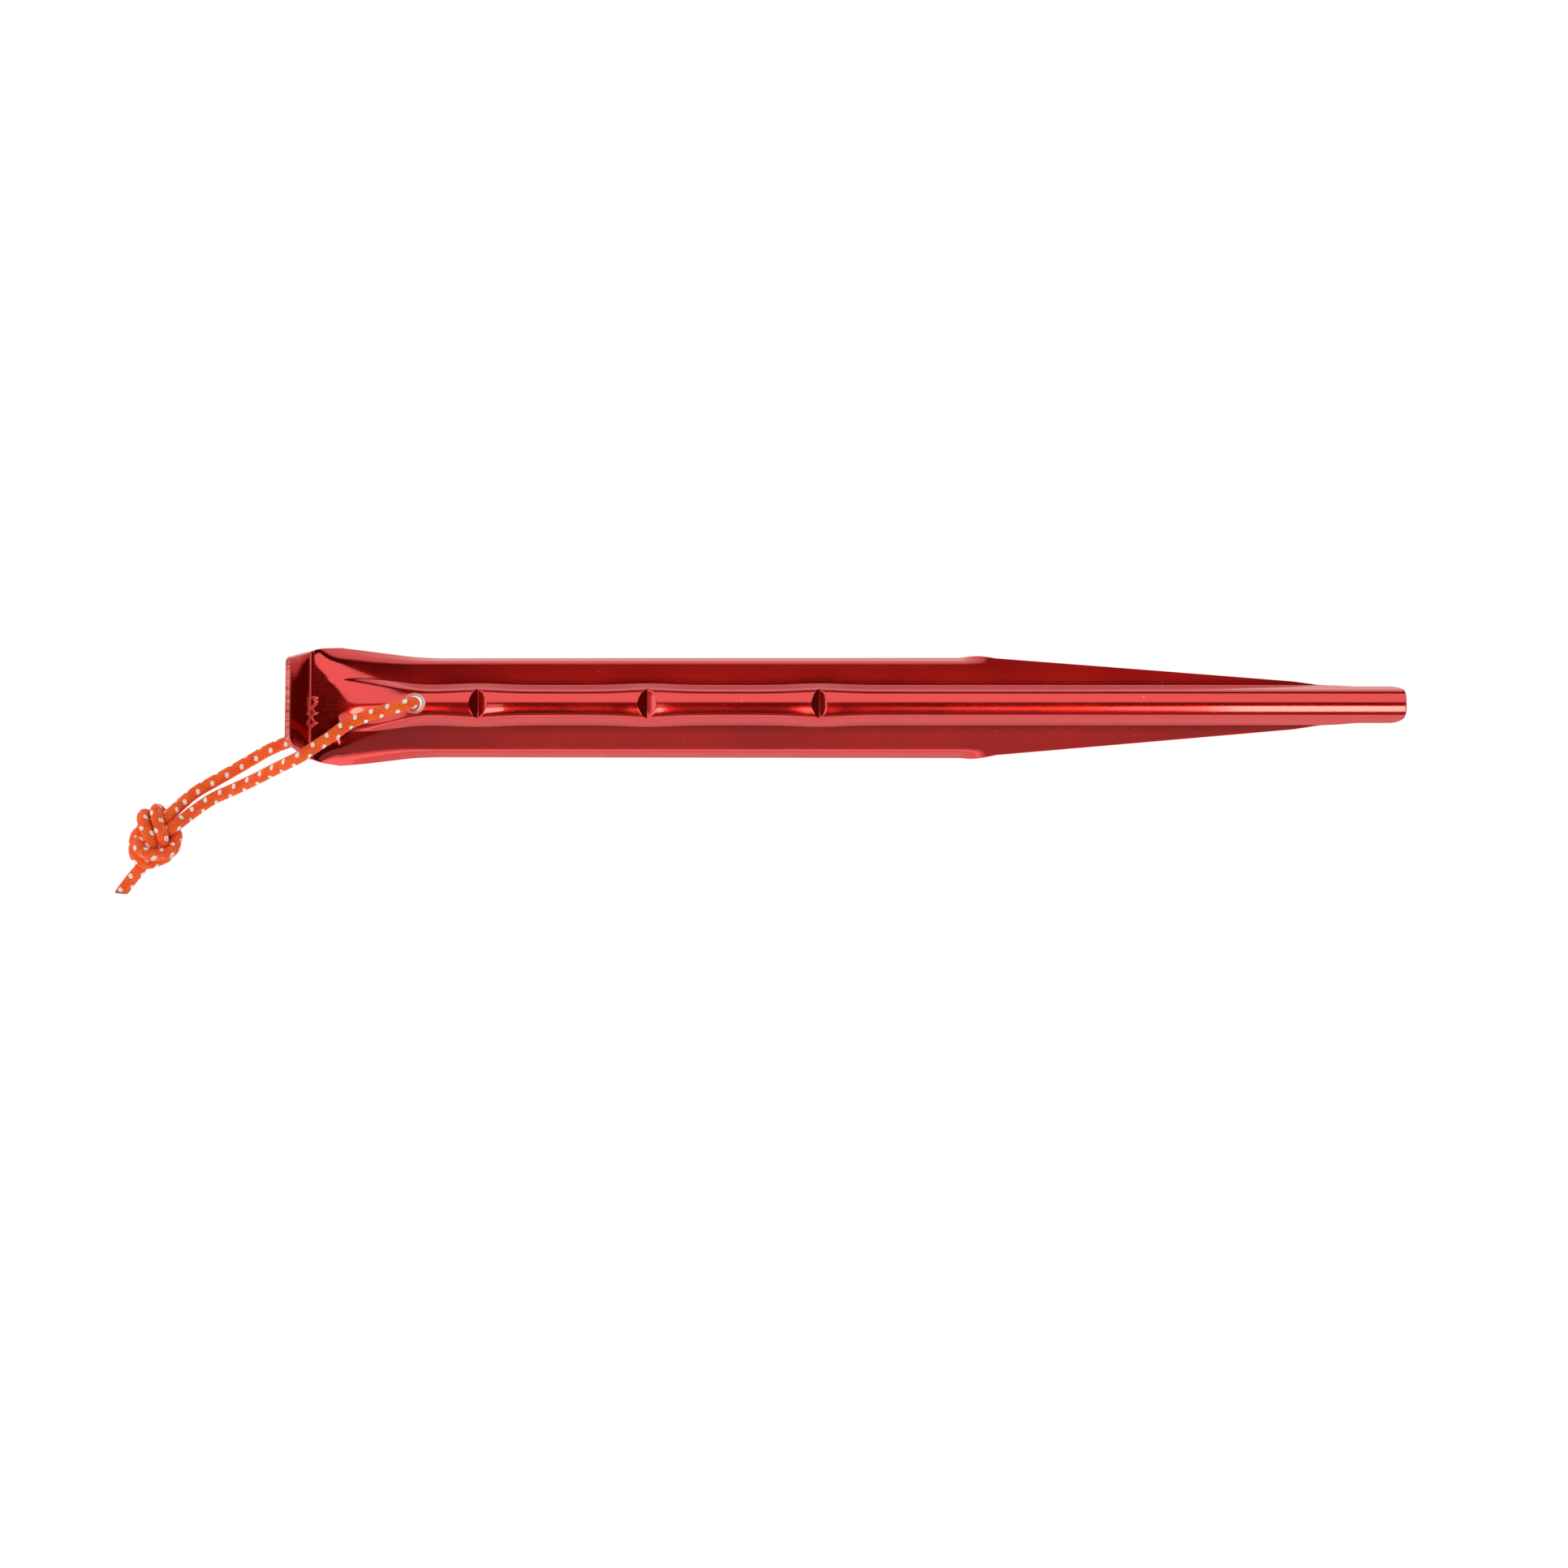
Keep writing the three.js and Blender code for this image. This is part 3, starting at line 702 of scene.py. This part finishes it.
def block_border(block):
    """Rings and columns of the grid's points round the hole's block, in order."""
    first_ring, last_ring, first_column, last_column = block
    return ([(r, first_column) for r in range(first_ring, last_ring)]
            + [(last_ring, c) for c in range(first_column, last_column)]
            + [(r, last_column) for r in range(last_ring, first_ring, -1)]
            + [(first_ring, c) for c in range(last_column, first_column, -1)])


def place_near_hole(angle, radius, offset):
    """The sheet's u and s under a point at an angle and a radius from the hole's axis."""
    u = HOLE_U + radius * math.cos(angle)
    line = sheet_points(u, math.copysign(1, angle) * GRID, np.full(len(GRID), offset))
    s = float(np.interp(radius * abs(math.sin(angle)), np.abs(line[:, 1]), GRID))
    return u, math.copysign(s, math.sin(angle))


def sink_radius(angle):
    """How far from the hole's axis the countersink meets the top of the sheet."""
    low = HOLE_RADIUS
    high = SINK_RADIUS + SINK_SEARCH
    steepness = SINK_DEPTH / (SINK_RADIUS - HOLE_RADIUS)
    for _ in range(SINK_HALVINGS):
        radius = (low + high) / 2
        cone = RIDGE_HEIGHT - SINK_DEPTH + (radius - HOLE_RADIUS) * steepness
        u, s = place_near_hole(angle, radius, HALF)
        if sheet_points(u, np.array([s]), np.array([HALF]))[0, 2] > cone:
            low = radius
        else:
            high = radius
    return radius


def rows_to_hole(points, border, places, targets, offset):
    """Rows of points on one side of the sheet, from the block's border in to the hole.

    places and targets are the border's and the last row's places on the sheet."""
    rows = [border]
    for t in np.linspace(0, 1, HOLE_ROWS + 1)[1:]:
        row = [sheet_points(lerp(u, to_u, t), np.array([lerp(s, to_s, t)]), np.array([offset]))[0]
               for (u, s), (to_u, to_s) in zip(places, targets)]
        rows.append(add_row(points, row))
    return rows


def hole_faces(points, us, top_s, block):
    """Faces of the sheet from the block's border in to the hole, and of the hole's wall."""
    count = 2 * len(top_s)
    loop = block_border(block)
    places = [(us[ring], top_s[column]) for ring, column in loop]
    angles = [math.atan2(s, u - HOLE_U) for u, s in places]
    radii = [sink_radius(angle) for angle in angles]
    above = [ring * count + column for ring, column in loop]
    below = [ring * count + count - 1 - column for ring, column in loop]
    top = rows_to_hole(points, above, places,
                       [place_near_hole(a, r, HALF) for a, r in zip(angles, radii)], HALF)
    bottom = rows_to_hole(points, below, places,
                          [place_near_hole(a, HOLE_RADIUS, -HALF) for a in angles], -HALF)

    rim_z = np.array([points[i][2] for i in top[-1]])
    wall = [top[-1]]
    for share, drop in SINK_ROWS:
        radius = lerp(np.array(radii), HOLE_RADIUS, share)
        height = lerp(rim_z, RIDGE_HEIGHT - SINK_DEPTH, share) - drop
        ring = [HOLE_X + radius * np.cos(angles), radius * np.sin(angles), height]
        wall.append(add_row(points, np.stack(ring, axis=-1)))
    foot = np.array([points[i] for i in wall[-1]])
    low = np.array([points[i] for i in bottom[-1]])
    for share in BORE_ROWS:
        wall.append(add_row(points, lerp(foot, low, share)))
    wall.append(bottom[-1])
    return stitched(top) + stitched(bottom, flipped=True), stitched(wall)


def make_stake(anodised, bare, sheared):
    """The stake: one sheet, closed at both ends, with the cord's hole through its ridge."""
    us = stations()
    columns = [ring_columns(u) for u in us]
    grid = np.array([sheet_points(u, s, offset) for u, (s, offset) in zip(us, columns)])
    count = grid.shape[1]
    points = list(grid.reshape(-1, 3))
    in_rings = np.flatnonzero(abs(us - HOLE_U) <= HOLE_BLOCK_HALF_LENGTH).tolist()
    top_s = columns[in_rings[0]][0][:count // 2]
    in_columns = np.flatnonzero(abs(top_s) <= HOLE_BLOCK_HALF_WIDTH).tolist()
    block = (in_rings[0], in_rings[-1], in_columns[0], in_columns[-1])

    cells, flange_sides = grid_faces(us, count, block)
    tip = [face[::-1] for face in end_faces((len(us) - 1) * count, count)]
    round_hole, wall = hole_faces(points, us, top_s, block)
    red = cells + tip + round_hole
    faces = red + wall + end_faces(0, count)

    used = sorted({i for face in faces for i in face})
    number = {old: new for new, old in enumerate(used)}
    stake = mesh_object("stake_sheet", [points[i] for i in used],
                        [tuple(number[i] for i in face) for face in faces])
    stake.data.materials.append(anodised)
    stake.data.materials.append(bare)
    stake.data.materials.append(sheared)
    index = np.zeros(len(faces), int)
    index[len(red):len(red) + len(wall)] = 1
    index[len(red) + len(wall):] = 2
    index[flange_sides] = 2
    stake.data.polygons.foreach_set("material_index", index)
    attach(stake, "root")
    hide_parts("stake_body")


# ---- materials ------------------------------------------------------------

class Graph:
    """A material's node graph, with one short call for each kind of node."""

    def __init__(self, name):
        self.material = bpy.data.materials.new(name)
        self.material.use_nodes = True
        self.tree = self.material.node_tree
        self.shader = self.tree.nodes["Principled BSDF"]

    def node(self, kind, inputs=None, **settings):
        made = self.tree.nodes.new("ShaderNode" + kind)
        for key, value in settings.items():
            setattr(made, key, value)
        for key, value in (inputs or {}).items():
            self.feed(made.inputs[key], value)
        return made

    def feed(self, socket, value):
        if isinstance(value, bpy.types.NodeSocket):
            self.tree.links.new(value, socket)
        else:
            socket.default_value = value

    def math(self, operation, *values):
        return self.node("Math", dict(enumerate(values)), operation=operation).outputs[0]

    def add(self, one, other):
        return self.math("ADD", one, other)

    def times(self, one, other):
        return self.math("MULTIPLY", one, other)

    def object_place(self):
        return self.node("TexCoord").outputs["Object"]

    def noise(self, place, scale, detail=2.0, roughness=0.5):
        return self.node("TexNoise", {"Vector": place, "Scale": scale, "Detail": detail,
                                      "Roughness": roughness}).outputs["Fac"]

    def squeezed(self, place, scale):
        return self.node("Mapping", {"Vector": place, "Scale": scale}).outputs[0]

    def stretch(self, value, low, high, to_low=0, to_high=1):
        """Takes low to to_low and high to to_high, with rounded corners."""
        return self.node("MapRange", {"Value": value, 1: low, 2: high, 3: to_low, 4: to_high},
                         interpolation_type="SMOOTHSTEP").outputs[0]

    def blend(self, share, one, other):
        """A mix of two colours: the first where share is 0, the other where it is 1."""
        made = self.node("Mix", data_type="RGBA")
        first, second = [socket for socket in made.inputs if socket.type == "RGBA"]
        self.feed(made.inputs[0], share)
        self.feed(first, one)
        self.feed(second, other)
        return [socket for socket in made.outputs if socket.type == "RGBA"][0]

    def bump(self, height, distance, strength):
        return self.node("Bump", {"Height": height, "Distance": distance,
                                  "Strength": strength}).outputs["Normal"]

    def set(self, **values):
        for key, value in values.items():
            self.feed(self.shader.inputs[key.replace("_", " ")], value)


# Materials measure places in metres, in the frame of the part, and the cord's flecks in
# millimetres. Most of a noise's values lie in this range.
NOISE_RANGE = (0.35, 0.65)

# Off the bead and past the head the metal is duller, and on the head it is smoother.
WING_FROM_Y = (0.0033, 0.0048)
WING_FROM_X = (-0.080, -0.046)
WING_EXTRA_ROUGHNESS = 0.16
HEAD_TO_X = (-0.0825, -0.0790)
HEAD_ROUGHNESS_SHARE = 0.4
POLISH = (0.14, 0.18)
GRAIN_ROUGHNESS = 0.06
SPECK_RANGE = (0.74, 0.78)
SPECK_SHARE = 0.5
RED_DYE = (0.58, 0.009, 0.006, 1)
PALER_RED_DYE = (0.63, 0.012, 0.008, 1)
SPECK_PINK = (0.95, 0.35, 0.28, 1)


def anodised_material():
    """Polished aluminium under a clear dyed layer, with faint clouds, grain and specks."""
    g = Graph("red_anodised_aluminium")
    place = g.object_place()
    x, y, _ = g.node("SeparateXYZ", {0: place}).outputs
    off_bead = g.stretch(g.math("ABSOLUTE", y), *WING_FROM_Y)
    wing = g.times(off_bead, g.stretch(x, *WING_FROM_X))
    cloud = g.noise(place, scale=90, detail=3)
    grain = g.noise(place, scale=4200, roughness=0.6)
    specks = g.stretch(g.noise(place, scale=1500), *SPECK_RANGE)
    tone = g.blend(cloud, RED_DYE, PALER_RED_DYE)
    colour = g.blend(g.times(specks, SPECK_SHARE), tone, SPECK_PINK)
    worn = g.add(g.stretch(cloud, *NOISE_RANGE, *POLISH), g.times(grain, GRAIN_ROUGHNESS))
    polish = g.times(worn, g.stretch(x, *HEAD_TO_X, HEAD_ROUGHNESS_SHARE, 1))
    roughness = g.add(polish, g.times(wing, WING_EXTRA_ROUGHNESS))
    g.set(Base_Color=colour, Metallic=0.88, Roughness=roughness,
          Coat_Weight=1.0, Coat_Roughness=0.06, Coat_IOR=1.57)
    g.set(Normal=g.bump(grain, distance=0.000014, strength=0.5))
    return g.material


TURNED_RANGE = (0.3, 0.7)
BARE_ROUGHNESS = (0.3, 0.5)
DARKER_METAL = (0.80, 0.79, 0.78, 1)
BRIGHTER_METAL = (1.0, 0.99, 0.98, 1)


def bare_material():
    """Fresh metal of the hole's wall and countersink, with the drill's turning marks."""
    g = Graph("bare_aluminium")
    turned = g.noise(g.squeezed(g.object_place(), (1, 1, 6)), scale=2500)
    colour = g.blend(turned, DARKER_METAL, BRIGHTER_METAL)
    g.set(Base_Color=colour, Metallic=0.35,
          Roughness=g.stretch(turned, *TURNED_RANGE, *BARE_ROUGHNESS))
    g.set(Normal=g.bump(turned, distance=0.00002, strength=0.6))
    return g.material


STRIPE_SHARE = 0.75
SHEARED_DARK = (0.42, 0.03, 0.025, 1)
SHEARED_PALE = (0.95, 0.26, 0.19, 1)


def sheared_material():
    """The sheet's cut edges, where the dye took on a rough striped face."""
    g = Graph("sheared_red_edge")
    place = g.object_place()
    stripes = g.noise(g.squeezed(place, (0.12, 1, 0.12)), scale=3400, roughness=0.6)
    patches = g.noise(place, scale=1400)
    share = g.add(g.stretch(stripes, *NOISE_RANGE, 0, STRIPE_SHARE),
                  g.times(patches, 1 - STRIPE_SHARE))
    colour = g.blend(share, SHEARED_DARK, SHEARED_PALE)
    g.set(Base_Color=colour, Metallic=0.35, Roughness=0.45)
    g.set(Normal=g.bump(stripes, distance=0.00004, strength=0.6))
    return g.material


# Reflective tracer threads show as flecks, in rows along the cord. Every other row is
# shifted by half a pitch, and each fleck is a slanted rounded box. In millimetres.
FLECK_PITCH = 2.7
FLECK_ROWS = 4
FLECK_SLANT = math.radians(20)
FLECK_HALF_LENGTH = 0.31
FLECK_HALF_WIDTH = 0.47
FLECK_ROUNDING = 3.0
FLECK_SOFT_EDGE = (0.8, 1.2)
BRAID_VALLEY_SHADE_RANGE = (0.0, 0.55)
# Painted shade: the range below and the deep orange darken the braid's low places between strands.
SINGE_SHARE = 0.9
ORANGE = (0.93, 0.095, 0.008, 1)
PALER_ORANGE = (1.0, 0.14, 0.016, 1)
VALLEY_SHADE_ORANGE = (0.60, 0.03, 0.004, 1)
TRACER_GREY = (0.82, 0.76, 0.68, 1)
TRACER_WHITE = (1.0, 0.97, 0.92, 1)
SINGED_BROWN = (0.10, 0.012, 0.006, 1)


def cord_material():
    """Woven orange braid with pale tracer flecks and painted shade between its strands, singed where
    it is melted at a cut.
    """
    g = Graph("orange_braid")
    along, turn, _ = g.node("SeparateXYZ", {0: g.node("UVMap", uv_map="cord").outputs[0]}).outputs
    relief = g.node("Attribute", attribute_name="relief").outputs["Fac"]
    singe = g.node("Attribute", attribute_name="singe").outputs["Fac"]
    place = g.object_place()

    row_place = g.times(turn, FLECK_ROWS)
    row = g.math("ROUND", row_place)
    shift = g.times(g.math("PINGPONG", row, 1.0), 0.5)
    pitch = g.add(g.math("DIVIDE", along, FLECK_PITCH), shift)
    from_fleck = g.times(g.math("SUBTRACT", g.math("FRACT", pitch), 0.5), FLECK_PITCH)
    from_row = g.times(g.math("SUBTRACT", row_place, row), TAU * CORD_RADIUS / FLECK_ROWS)
    lengthwise = g.add(g.times(from_fleck, math.cos(FLECK_SLANT)),
                       g.times(from_row, math.sin(FLECK_SLANT)))
    widthwise = g.math("SUBTRACT", g.times(from_row, math.cos(FLECK_SLANT)),
                       g.times(from_fleck, math.sin(FLECK_SLANT)))
    box = [g.math("POWER", g.math("ABSOLUTE", g.math("DIVIDE", distance, half)), FLECK_ROUNDING)
           for distance, half in [(lengthwise, FLECK_HALF_LENGTH), (widthwise, FLECK_HALF_WIDTH)]]
    fleck = g.stretch(g.add(*box), *FLECK_SOFT_EDGE, 1, 0)

    fibre = g.noise(place, scale=9000)
    shade = g.noise(place, scale=700)
    orange = g.blend(g.stretch(shade, *NOISE_RANGE), ORANGE, PALER_ORANGE)
    # Painted shade: where the braid's relief is low, between strands, the orange is darkened towards
    # a deep orange.
    woven_with_valley_shade = g.blend(g.stretch(relief, *BRAID_VALLEY_SHADE_RANGE, 1, 0), orange, VALLEY_SHADE_ORANGE)
    tracer = g.blend(fibre, TRACER_GREY, TRACER_WHITE)
    marked = g.blend(fleck, woven_with_valley_shade, tracer)
    colour = g.blend(g.times(singe, SINGE_SHARE), marked, SINGED_BROWN)
    g.set(Base_Color=colour, Roughness=0.7, Specular_IOR_Level=0.3,
          Sheen_Weight=0.08, Sheen_Roughness=0.5)
    g.set(Normal=g.bump(fibre, distance=0.00003, strength=0.5))
    return g.material


# ---- light and floor ------------------------------------------------------

LIGHT_DISTANCE = 2.0
WHITE = (1, 1, 1)
WARM = (1.0, 0.93, 0.78)


# The studio: the large lights give the body its bands, and the small ones are seen in
# the facets of the head and the notches and in the strips along the ridge.
# Name, tilt, pan, spread along the tilt, spread along the pan, radiance, colour, slide.
LIGHTS = [
    ("softbox", 26.7, 0, 33.4, 80, 1.42, WHITE, -0.70),
    ("low_front", -70, 0, 26, 90, 0.80, WHITE, 0),
    ("fill", -43, 0, 24, 90, 0.30, WHITE, 0),
    ("side_left", -24, -34, 44, 24, 1.45, WHITE, 0),
    ("notch_left", 3, -45, 24, 7, 1.1, WHITE, 0),
    ("facet_left", -3, -13.5, 14, 10, 1.3, WHITE, 0),
    ("strip_left", -12, -12, 9, 8, 7.0, WARM, 0),
    ("spot_left", -4, -25, 7, 8, 7.0, WARM, 0),
    ("strip_right", -11.5, 4.5, 6, 5, 0.8, WARM, 0),
    ("strip_right_bright", -12, 8.5, 11, 6, 2.4, WARM, 0),
    ("strip_right_core", -13, 10.0, 19, 5, 8.0, WARM, 0),
]


def area_light(name, tilt, pan, spread_y, spread_x, radiance, colour, slide):
    """A rectangular soft light seen from the stake at tilt degrees from straight up
    towards +Y and pan degrees towards +X, spreading over the given angles. slide moves
    it sideways within its own plane, in metres."""
    tilt = math.radians(tilt)
    pan = math.radians(pan)
    away = Vector((math.sin(pan), math.cos(pan) * math.sin(tilt), math.cos(pan) * math.cos(tilt)))
    along = Vector((math.cos(pan), -math.sin(pan) * math.sin(tilt), -math.sin(pan) * math.cos(tilt)))
    data = bpy.data.lights.new(name, "AREA")
    data.shape = "RECTANGLE"
    data.size = 2 * LIGHT_DISTANCE * math.tan(math.radians(spread_x) / 2)
    data.size_y = 2 * LIGHT_DISTANCE * math.tan(math.radians(spread_y) / 2)
    data.energy = radiance * math.pi * data.size * data.size_y
    data.color = colour
    lamp = bpy.data.objects.new(name, data)
    facing = Matrix((along, away.cross(along), away)).transposed().to_4x4()
    lamp.matrix_world = Matrix.Translation(away * LIGHT_DISTANCE + along * slide) @ facing
    lamp.visible_camera = False
    bpy.context.scene.collection.objects.link(lamp)


# The sky glows low down, fades between these heights of a unit view direction, and is
# almost black further up.
GLOW_FADES = (0.28, 0.48)
GLOW_STRENGTH = 1.0
TOP_STRENGTH = 0.01


def make_world():
    world = bpy.data.worlds.new("studio")
    world.use_nodes = True
    nodes = world.node_tree.nodes
    links = world.node_tree.links
    place = nodes.new("ShaderNodeTexCoord").outputs["Generated"]
    split = nodes.new("ShaderNodeSeparateXYZ")
    links.new(place, split.inputs[0])
    height = nodes.new("ShaderNodeMapRange")
    height.interpolation_type = "SMOOTHSTEP"
    for socket, value in zip(height.inputs[1:5], (*GLOW_FADES, GLOW_STRENGTH, TOP_STRENGTH)):
        socket.default_value = value
    links.new(split.outputs[2], height.inputs[0])
    sky = nodes["Background"]
    links.new(height.outputs[0], sky.inputs["Strength"])
    sky.inputs["Color"].default_value = (*WHITE, 1)
    bpy.context.scene.world = world


FLOOR_HALF_SIZE = 3000
FLOOR_HEIGHT = -0.05


def make_floor():
    """A white floor that glows by itself, just under the part."""
    corners = [(-1, -1), (1, -1), (1, 1), (-1, 1)]
    floor = mesh_object("floor", [(FLOOR_HALF_SIZE * x, FLOOR_HALF_SIZE * y, FLOOR_HEIGHT)
                                  for x, y in corners], [(0, 1, 2, 3)])
    g = Graph("white_sweep")
    g.set(Base_Color=(0.12, 0.12, 0.12, 1), Roughness=0.9, Specular_IOR_Level=0.0,
          Emission_Color=(*WHITE, 1), Emission_Strength=0.95)
    floor.data.materials.append(g.material)


# ---- the scene ------------------------------------------------------------

make_camera()
make_cords(cord_material())
make_stake(anodised_material(), bare_material(), sheared_material())
make_floor()
for light in LIGHTS:
    area_light(*light)
make_world()
bpy.context.scene.view_settings.view_transform = "Standard"
